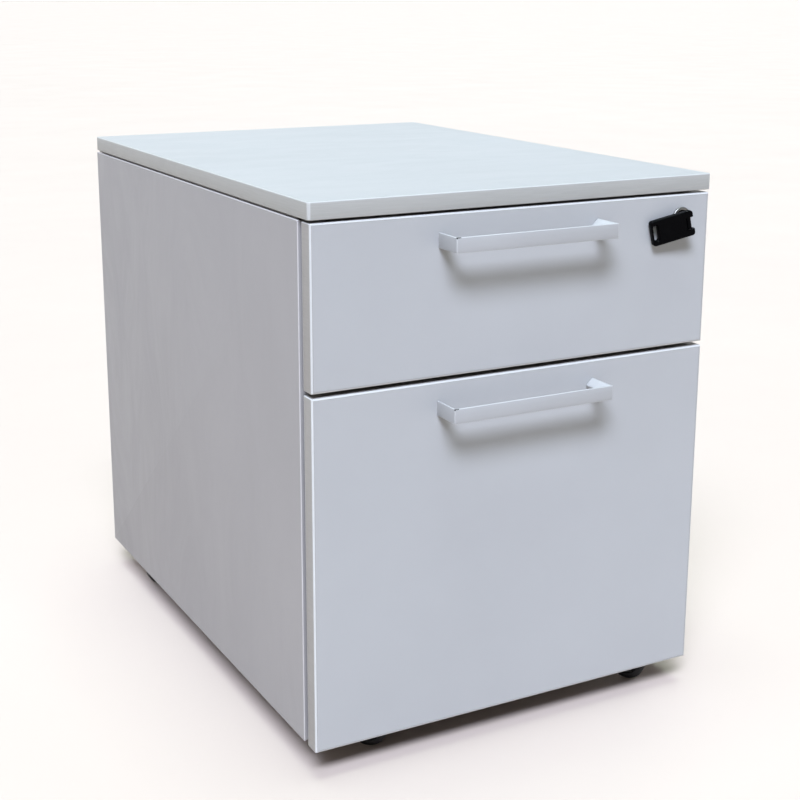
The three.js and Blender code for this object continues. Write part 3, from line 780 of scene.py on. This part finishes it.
def drawer_inner_front(row):
    """The sheet behind the front board, and the screws that hold the board and its handle."""
    body = row + "_drawer"
    lo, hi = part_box(body + "_inner_front")
    sheet = stack(((lo.x, hi.x), (lo.z, hi.z)), 1.5 * MM, "y", arris(lo.y, hi.y, 0.3 * MM, 2))
    piece(body + "_inner_front_sheet", sheet, "drawer", body, [body + "_inner_front"])
    head = 4.4 * MM
    screws = []
    for x in (lo.x + 24 * MM, hi.x - 40 * MM):
        for z in (lo.z + 16 * MM, hi.z - 18 * MM):
            screws.append(pan_head((x, hi.y, z), "+y", head, 2.2 * MM))
    handle_lo, handle_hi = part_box(row + "_handle")
    handle_z = (handle_lo.z + handle_hi.z) / 2
    behind = hi.y if handle_z < hi.z - 6 * MM else lo.y
    for x in (handle_lo.x + 6 * MM, handle_hi.x - 6 * MM):
        screws.append(pan_head((x, behind, handle_z), "+y", head, 2.4 * MM))
    piece(body + "_front_screws", merge(*screws), "bright", body)


def drawer_back(row):
    body = row + "_drawer"
    lo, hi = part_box(body + "_back")
    half = DRAWER_SHEET / 2
    sheet_y, top = hi.y - half, hi.z - half
    hem_y = sheet_y - HEM + 0.05 * MM
    path = [(sheet_y, lo.z), (sheet_y, top), (hem_y, top), (hem_y, hi.z - HEM_HEIGHT)]
    back = extrude(fold(path, DRAWER_SHEET, 0.6 * MM, 5), "x", lo.x, hi.x)
    piece(body + "_back_sheet", back, "drawer", body, [body + "_back"])


def file_rail(name):
    node = name + "_file_rail"
    lo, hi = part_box(node)
    rail = stack(((lo.x, hi.x), (lo.z, hi.z)), 0.95 * MM, "y", arris(lo.y, hi.y, 0.2 * MM, 1), steps=5)
    piece(node + "_bar", rail, "zinc", "lower_drawer", [node])


def drawer_catch(row):
    node = row + "_drawer_catch"
    lo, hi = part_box(node)
    thick = 1.5 * MM
    x, y = lo.x + thick / 2, lo.y + thick / 2
    angle = extrude(fold([(x, hi.y), (x, y), (hi.x, y)], thick, 1.2 * MM), "z", lo.z, hi.z)
    piece(node + "_angle", soften(angle, 0.15 * MM, 1, 70), "zinc", row + "_drawer", [node])


def handle(row):
    """A bow with upright outer faces and inner faces that slope to a ridge at mid-height."""
    node = row + "_handle"
    lo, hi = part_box(node)
    thin, thick, slope = 1.6 * MM, 8 * MM, 6.2 * MM
    loops = []
    for z, depth in ((lo.z, thin), (lo.z + slope, thick), (hi.z - slope, thick), (hi.z, thin)):
        left, right, front = lo.x + depth, hi.x - depth, lo.y + depth
        bow = [(lo.x, hi.y), (lo.x, lo.y), (hi.x, lo.y), (hi.x, hi.y)]
        bow += [(right, hi.y), (right, front), (left, front), (left, hi.y)]
        loops.append(in_plane(bow, "z", z))
    piece(node + "_bow", soften(joined(loops), 0.6 * MM, 3), "handle", row + "_drawer", [node])


# -------- lock and key


LOCK = sum(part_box("lock_housing"), Vector()) / 2
LOCK_AXIS = Matrix.Translation((LOCK.x, 0, LOCK.z)) @ AXES["+y"]
LOCK_BORE = 6.3 * MM
KEY_PIVOT = sum(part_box("key_pin"), Vector()) / 2
KEY_TURN = Matrix.Rotation(math.radians(-13.4), 4, "Y")  # the keyway isn't quite upright
KEY_LEAN = Matrix.Rotation(math.radians(-10.6), 4, "Z")  # the folded head leans from the front


def lock_hole():
    """The tool that cuts the lock's hole through the upper front."""
    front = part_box("upper_drawer_front")[0].y
    return cylinder(9.8 * MM, front - MM, front + 20 * MM, 48, LOCK_AXIS)


def lock_housing():
    """A threaded barrel with a rounded ring on the front, and a dark inlay inside the ring."""
    lo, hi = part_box("lock_housing")
    rim, barrel = (hi.x - lo.x) / 2, 9.5 * MM
    inlay, inlay_back = rim - 2.4 * MM, lo.y + 1.2 * MM
    root, pitch = barrel - 0.5 * MM, 1.0 * MM
    rounding = [(rim - inset, y) for inset, y in roll(1.1 * MM, lo.y, 1, 4)]
    ring_back = lo.y + 2 * MM
    profile = [(LOCK_BORE, inlay_back), (inlay, inlay_back), (inlay, lo.y)] + rounding
    profile += [(rim, ring_back), (barrel, ring_back)]
    y = ring_back + 1.5 * MM
    while y < hi.y - pitch:
        profile += [(barrel, y), (root, y + pitch / 2)]
        y += pitch
    profile += [(root, hi.y), (LOCK_BORE, hi.y)]
    piece("lock_housing_barrel", turned(profile, 48, LOCK_AXIS), "nickel", "upper_drawer", ["lock_housing"])
    back, edge = lo.y + 1.1 * MM, inlay - 0.05 * MM
    ring = [(LOCK_BORE, back), (LOCK_BORE, lo.y + 0.9 * MM), (LOCK_BORE + 0.5 * MM, lo.y + 0.5 * MM)]
    ring += [(edge, lo.y + 0.3 * MM), (edge, back)]
    piece("lock_housing_inlay", turned(ring, 48, LOCK_AXIS), "key_plastic", "upper_drawer")


def lock_nut():
    lo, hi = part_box("lock_nut")
    nut = hexagon((LOCK.x, lo.y, LOCK.z), "+y", 24 * MM, hi.y - lo.y)
    nut = carve(nut, cylinder(9.6 * MM, lo.y - MM, hi.y + MM, 48, LOCK_AXIS))
    piece("lock_nut_hexagon", nut, "bright", "upper_drawer", ["lock_nut"])


def lock_plug():
    """A plug with a raised rim on its face and the keyway across it."""
    lo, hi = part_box("lock_plug")
    radius, face = 6 * MM, lo.y + 0.35 * MM
    profile = [(0.0, face), (radius - 0.9 * MM, face), (radius - 0.5 * MM, lo.y), (radius - 0.2 * MM, lo.y)]
    profile += [(radius, lo.y + 0.25 * MM), (radius, hi.y), (0.0, hi.y)]
    keyway = block(-1.4 * MM, 1.4 * MM, lo.y - MM, lo.y + 18 * MM, -3.6 * MM, 3.6 * MM)
    keyway = moved(keyway, Matrix.Translation((LOCK.x, 0, KEY_PIVOT.z)) @ KEY_TURN)
    plug = carve(turned(profile, 48, LOCK_AXIS), keyway)
    piece("lock_plug_face", plug, "dark_plug", "lock_core", ["lock_plug"])


def on_key(bm):
    return moved(bm, Matrix.Translation(KEY_PIVOT) @ KEY_TURN @ KEY_LEAN)


def on_blade(bm):
    return moved(bm, Matrix.Translation(KEY_PIVOT) @ KEY_TURN)


def key_head():
    """A glossy plastic head with a ring slot, forked round the hinge barrel, and its pin."""
    left, right, half, thick = -40.3 * MM, 4.8 * MM, 12.5 * MM, 6 * MM
    fork, depth = 6 * MM, 3.3 * MM
    levels = arris(-thick / 2, thick / 2, 1.1 * MM, 4)
    head = stack(((left, right), (-half, half)), 3 * MM, "y", levels, steps=8)
    slot_x, slot_half = left + 4.6 * MM, 2.5 * MM
    flare = [(-1.2 * MM, -thick), (-1.0 * MM, -thick / 2 - 0.1 * MM), (0.0, -thick / 2 + 1.2 * MM)]
    flare += [(inset, -level) for inset, level in reversed(flare)]
    slot_rect = ((slot_x - slot_half, slot_x + slot_half), (-7.5 * MM, 7.5 * MM))
    head = carve(head, stack(slot_rect, slot_half - 0.01 * MM, "y", flare, steps=6))
    gap = block(-depth, right + MM, -thick, thick, -fork, fork)
    head = carve(head, soften(gap, 0.5 * MM, 2))
    head = carve(head, cylinder(1.75 * MM, -half - MM, half + MM, 24))
    piece("key_head_shell", on_key(head), "key_plastic", "key_head", ["key_head"])
    radius, reach, edge = 1.45 * MM, half - 0.5 * MM, 0.3 * MM
    end = [(radius - edge, reach), (radius, reach - edge)]
    profile = [(0.0, -reach)] + [(r, -h) for r, h in end] + end[::-1] + [(0.0, reach)]
    piece("key_pin_rod", on_key(turned(profile, 24)), "bright", "key_head", ["key_pin"])


def key_blade():
    """The moulded barrel round the pin, and the steel blade with its cuts."""
    bore, barrel, half = 1.65 * MM, 2.6 * MM, 5.5 * MM
    eye = turned([(bore, -half), (barrel, -half), (barrel, half), (bore, half)], 28)
    piece("key_hinge_barrel", on_blade(eye), "key_plastic", "lock_core")
    start, shoulder, neck, thick = 2.65 * MM, 4.5 * MM, 6.0 * MM, 1.1 * MM
    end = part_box("key_blade")[1].y - KEY_PIVOT.y
    outline = [(start, -5.0 * MM), (shoulder, -5.0 * MM), (neck, -3.0 * MM)]
    outline += [(end - 2 * MM, -3.0 * MM), (end, -1.4 * MM), (end, 0.6 * MM)]
    for k in range(5):
        cut = end - (2.5 + 3.0 * k) * MM
        outline += [(cut, 3.0 * MM), (cut - 1.0 * MM, (1.6 + 0.5 * (k % 3)) * MM), (cut - 2.0 * MM, 3.0 * MM)]
    outline += [(neck, 3.0 * MM), (shoulder, 5.0 * MM), (start, 5.0 * MM)]
    blade = soften(extrude(outline, "x", -thick, thick), 0.15 * MM, 1)
    piece("key_blade_steel", on_blade(blade), "key_steel", "lock_core", ["key_blade"])


def lock_cam():
    """The cam on the plug's end, with its nut and the pin that lifts the locking bar."""
    lo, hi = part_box("lock_cam")
    thick, radius, tip = 2 * MM, 1.5 * MM, 0.4 * MM
    levels = arris(lo.y, lo.y + thick, 0.3 * MM, 2)
    arm = stack(((-6 * MM, 14.5 * MM), (-5 * MM, 5 * MM)), 3.4 * MM, "y", levels)
    profile = [(0.0, lo.y + MM), (radius, lo.y + MM), (radius, hi.y - tip), (radius - tip, hi.y), (0.0, hi.y)]
    pin = turned(profile, 20, Matrix.Translation((11 * MM, 0, 0)) @ AXES["+y"])
    nut = hexagon((0, lo.y + thick, 0), "+y", 7 * MM, 2.4 * MM)
    place = Matrix.Translation((LOCK.x, 0, LOCK.z)) @ Matrix.Rotation(math.radians(45), 4, "Y")
    piece("lock_cam_arm", moved(merge(arm, pin, nut), place), "zinc", "lock_core", ["lock_cam"])


# -------- casters


PLATE_HALF = 19 * MM
PLATE_THICK = 2 * MM
TRAIL = 22 * MM
WHEEL_R = 17.5 * MM
WHEEL_HALF = 9 * MM
LEG = 1.6 * MM
LEG_INSIDE = WHEEL_HALF + 0.8 * MM
AXLE = Matrix.Translation((TRAIL, 0, WHEEL_R))


def caster_plate(name, plate, top):
    """A square plate with four slotted holes, the swivel's rivet under it, and its bolts."""
    under = top - PLATE_THICK
    rect = ((-PLATE_HALF, PLATE_HALF), (-PLATE_HALF, PLATE_HALF))
    body = stack(rect, 3 * MM, "z", arris(under, top, 0.35 * MM, 2))
    spread, half_long, half_wide = 13.5 * MM, 2.9 * MM, 2.1 * MM
    corners = [(x, y) for x in (-spread, spread) for y in (-spread, spread)]
    holes = bmesh.new()
    for x, y in corners:
        hole = ((x - half_long, x + half_long), (y - half_wide, y + half_wide))
        through = [(0.0, top - 5 * MM), (0.0, top + MM)]
        holes = merge(holes, stack(hole, half_wide - 0.01 * MM, "z", through))
    head = [(0.0, 35.3 * MM), (4.4 * MM, 35.3 * MM), (5.6 * MM, 36.1 * MM), (6.0 * MM, 36.9 * MM)]
    shank = [(4.0 * MM, 37.2 * MM), (4.0 * MM, top - MM), (0.0, top - MM)]
    body = merge(carve(body, holes), turned(head + shank, 24))
    place = Matrix.Translation((plate.x, plate.y, 0))
    piece(name + "plate_steel", moved(body, place), "caster_paint", "carcass", [name + "plate"])
    bolts = [pan_head((plate.x + x, plate.y + y, under), "-z", 3.6 * MM, 1.9 * MM) for x, y in corners]
    piece(name + "plate_bolts", merge(*bolts), "bright", "carcass")


def caster_fork(name, place, top):
    """A pressed fork: a channel trimmed to the legs' outline, under a bearing cup."""
    hood, foot, boss = 39.5 * MM, 5 * MM, 7 * MM
    mid, ridge = LEG_INSIDE + LEG / 2, hood - LEG / 2
    path = [(-mid, foot), (-mid, ridge), (mid, ridge), (mid, foot)]
    channel = extrude(fold(path, LEG, 2.2 * MM, 5), "x", -2 * MM, TRAIL + boss)
    outline = [(-MM, hood + MM), (-MM, hood - 3 * MM), (3 * MM, hood - 6 * MM)]
    for k in range(13):
        angle = math.radians(-158 + 158 * k / 12)
        outline.append((TRAIL + boss * math.cos(angle), WHEEL_R + boss * math.sin(angle)))
    outline += [(TRAIL + boss, hood - 5 * MM), (TRAIL + 4 * MM, hood + MM)]
    reach = 20 * MM
    fork = carve(channel, extrude(outline, "y", -reach, reach), "INTERSECT")
    fork = carve(fork, cylinder(3.1 * MM, -reach, reach, 24, AXLE @ AXES["+y"]))
    cup_r, bore, rim = LEG_INSIDE + LEG, 4.4 * MM, 37.5 * MM
    cup = [(bore, rim), (cup_r - MM, rim), (cup_r, 38.5 * MM), (cup_r, hood), (cup_r - 0.6 * MM, 41.5 * MM)]
    cup += [(cup_r - 1.6 * MM, 43.6 * MM), (cup_r - 2.6 * MM, top), (bore, top)]
    piece(name + "fork_pressing", moved(fork, place), "caster_paint", name + "swivel", [name + "fork"])
    piece(name + "bearing_cup", moved(turned(cup, 36), place), "caster_paint", name + "swivel")


def caster_axle(name, place):
    """A rod through the wheel, with a flat rivet head on each leg."""
    reach = LEG_INSIDE + LEG
    axle = cylinder(2.95 * MM, -reach, reach, 24, AXLE @ AXES["+y"])
    dome = [(0.0, 0.0), (4.2 * MM, 0.0), (3.8 * MM, 0.35 * MM), (2.2 * MM, 0.6 * MM), (0.0, 0.6 * MM)]
    for axis, y in (("-y", -reach), ("+y", reach)):
        axle = merge(axle, turned(dome, 24, placed((TRAIL, y, WHEEL_R), axis)))
    piece(name + "axle_rivet", moved(axle, place), "zinc", name + "swivel", [name + "axle"])


def caster_wheel(name, place):
    """A round-shouldered wheel with a parting groove, dished sides, a hub and ribs."""
    shoulder, bore, half = 6 * MM, 3.1 * MM, WHEEL_HALF
    side = [(WHEEL_R - shoulder * (1 - math.cos(t)), half - shoulder * (1 - math.sin(t))) for t in quarter(7)]
    side += [(10.4 * MM, half), (9.8 * MM, half - 0.5 * MM), (9.4 * MM, half - 2 * MM)]
    side += [(6.4 * MM, half - 2 * MM), (6.0 * MM, half - 0.4 * MM), (5.6 * MM, half)]
    side += [(bore + 0.4 * MM, half), (bore, half - 0.4 * MM)]
    other_side = [(radius, -y) for radius, y in reversed(side)]
    floor, edge, lip = WHEEL_R - 0.35 * MM, 0.35 * MM, 0.7 * MM
    groove = [(WHEEL_R, -lip), (floor, -edge), (floor, edge), (WHEEL_R, lip)]
    wheel = turned(other_side + groove + side, 56, AXLE @ AXES["+y"])
    for k in range(6):
        turn = AXLE @ Matrix.Rotation(math.radians(60 * k), 4, "Y")
        for y in (-half + 0.5 * MM, half - 2.5 * MM):
            rib = block(5.6 * MM, 10.0 * MM, y, y + 2 * MM, -0.6 * MM, 0.6 * MM)
            wheel = merge(wheel, moved(rib, turn))
    piece(name + "wheel_tyre", moved(wheel, place), "wheel", name + "wheel", [name + "wheel"])


def caster(name):
    """A caster whose wheel trails from its plate's middle as it does in the frame."""
    plate = sum(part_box(name + "plate"), Vector()) / 2
    wheel = sum(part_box(name + "wheel"), Vector()) / 2
    yaw = math.atan2(wheel.y - plate.y, wheel.x - plate.x)
    place = Matrix.Translation((plate.x, plate.y, 0)) @ Matrix.Rotation(yaw, 4, "Z")
    caster_plate(name, plate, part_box(name + "plate")[1].z)
    caster_fork(name, place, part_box(name + "fork")[1].z)
    caster_axle(name, place)
    caster_wheel(name, place)


# -------- stage


def studio():
    """A pale floor under cool light from the upper left front, from overhead and from behind."""
    floor = bmesh.new()
    half, level = 60.0, -0.5 * MM
    for corner in ((-half, -half), (half, -half), (half, half), (-half, half)):
        floor.verts.new((*corner, level))
    floor.faces.new(floor.verts)
    mesh = bpy.data.meshes.new("floor")
    floor.to_mesh(mesh)
    floor.free()
    mesh.materials.append(floor_paint("floor_paint", linear(171, 158, 149)))
    obj = bpy.data.objects.new("floor", mesh)
    bpy.context.scene.collection.objects.link(obj)
    room()
    for k, slant in enumerate((0.38, 0.65, 0.92)):
        sun(f"key_light_{k + 1}", (slant, 1.0, -1.37), 18, 2.54, (0.747, 0.824, 1.0))
    sun("ceiling_light", (0.0, 0.0, -1.0), 36, 3.0, (0.80, 1.0, 0.96))
    back_light = sun("back_light", (-0.9, -1.0, -0.12), 40, 2.0, (0.94, 0.97, 1.0))
    back_light.visible_glossy = False
    reflector()


def ramp(nodes, links, value, span, strengths):
    """The background's strength as the value crosses the span."""
    made = nodes.new("ShaderNodeMapRange")
    made.inputs["From Min"].default_value, made.inputs["From Max"].default_value = span
    made.inputs["To Min"].default_value, made.inputs["To Max"].default_value = strengths
    links.new(value, made.inputs["Value"])
    return made.outputs[0]


def room():
    """A dim room with a white horizon and a white backdrop behind the cabinet."""
    world = bpy.data.worlds.new("room")
    bpy.context.scene.world = world
    world.use_nodes = True
    nodes, links = world.node_tree.nodes, world.node_tree.links
    split = nodes.new("ShaderNodeSeparateXYZ")
    links.new(nodes.new("ShaderNodeTexCoord").outputs["Generated"], split.inputs[0])
    backdrop = ramp(nodes, links, split.outputs["Y"], (0.55, 0.95), (0.12, 1.05))
    horizon = ramp(nodes, links, split.outputs["Z"], (0.04, 0.3), (1.05, 0.12))
    brighter = nodes.new("ShaderNodeMath")
    brighter.operation = "MAXIMUM"
    links.new(backdrop, brighter.inputs[0])
    links.new(horizon, brighter.inputs[1])
    background = nodes["Background"]
    background.inputs["Color"].default_value = (1.0, 0.99, 0.98, 1.0)
    links.new(brighter.outputs[0], background.inputs["Strength"])


def aimed(name, light, place, direction):
    obj = bpy.data.objects.new(name, light)
    obj.location = place
    obj.rotation_mode = "QUATERNION"
    obj.rotation_quaternion = Vector(direction).to_track_quat("-Z", "Y")
    bpy.context.scene.collection.objects.link(obj)
    return obj


def sun(name, direction, spread, strength, colour):
    """A soft light from afar. The spread is its angle across, in degrees."""
    light = bpy.data.lights.new(name, "SUN")
    light.angle, light.energy, light.color = math.radians(spread), strength, colour
    return aimed(name, light, -Vector(direction) * 3, direction)


def reflector():
    """A low board by the left front corner that lifts the side towards its front and its bottom."""
    place, target = Vector((-0.75, -0.3, 0.06)), Vector((-0.215, -0.1, 0.12))
    light = bpy.data.lights.new("reflector_board", "AREA")
    light.shape, light.size, light.energy, light.color = "SQUARE", 0.5, 0.9, (1.0, 0.98, 0.97)
    board = aimed("reflector_board", light, place, target - place)
    board.visible_camera = False
    board.visible_glossy = False


def camera():
    """A view from the left front, a little from above, with a long lens and its frame shifted down."""
    azimuth, down, tilt = (math.radians(angle) for angle in (28.43, 13.68, 0.21))
    flat = math.cos(down)
    ahead = Vector((math.sin(azimuth) * flat, math.cos(azimuth) * flat, -math.sin(down)))
    level = Vector((math.cos(azimuth), -math.sin(azimuth), 0))
    upright = level.cross(ahead)
    across = math.cos(tilt) * level + math.sin(tilt) * upright
    up = -math.sin(tilt) * level + math.cos(tilt) * upright
    data = bpy.data.cameras.new("camera")
    data.lens = 65.32
    data.shift_x, data.shift_y = -0.0064, -0.0776
    data.clip_start = 0.05
    obj = bpy.data.objects.new("camera", data)
    turn = Matrix((across, up, -ahead)).transposed().to_4x4()
    obj.matrix_world = Matrix.Translation((-0.7153, -1.3797, 0.7145)) @ turn
    bpy.context.scene.collection.objects.link(obj)
    bpy.context.scene.camera = obj


# -------- the cabinet


camera()
top_panel()
for side_name, side_sign in SIDES.items():
    side_panel(side_name, side_sign)
    spacer_strip(side_name, side_sign)
back_panel()
base_pan()
for rail_end in ENDS:
    top_rail(rail_end)

drawer_front("upper", lock_hole())
drawer_front("lower")
for drawer_row in ROWS:
    drawer_shell(drawer_row)
    drawer_inner_front(drawer_row)
    drawer_back(drawer_row)
    handle(drawer_row)
    drawer_catch(drawer_row)
    for side_name, side_sign in SIDES.items():
        slide(drawer_row, side_name, side_sign)
for side_name in SIDES:
    file_rail(side_name)

lock_housing()
lock_nut()
lock_plug()
lock_cam()
key_head()
key_blade()
for caster_end in ENDS:
    for side_name in SIDES:
        caster(f"caster_{caster_end}_{side_name}_")

for plain_node in ("lock_bar", "upper_bar_guide", "lower_bar_guide"):
    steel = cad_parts[plain_node]
    steel.data.materials.clear()
    steel.data.materials.append(LOOKS["zinc"][1])

studio()
bpy.context.scene.view_settings.view_transform = "Standard"
bpy.context.scene.view_settings.look = "None"
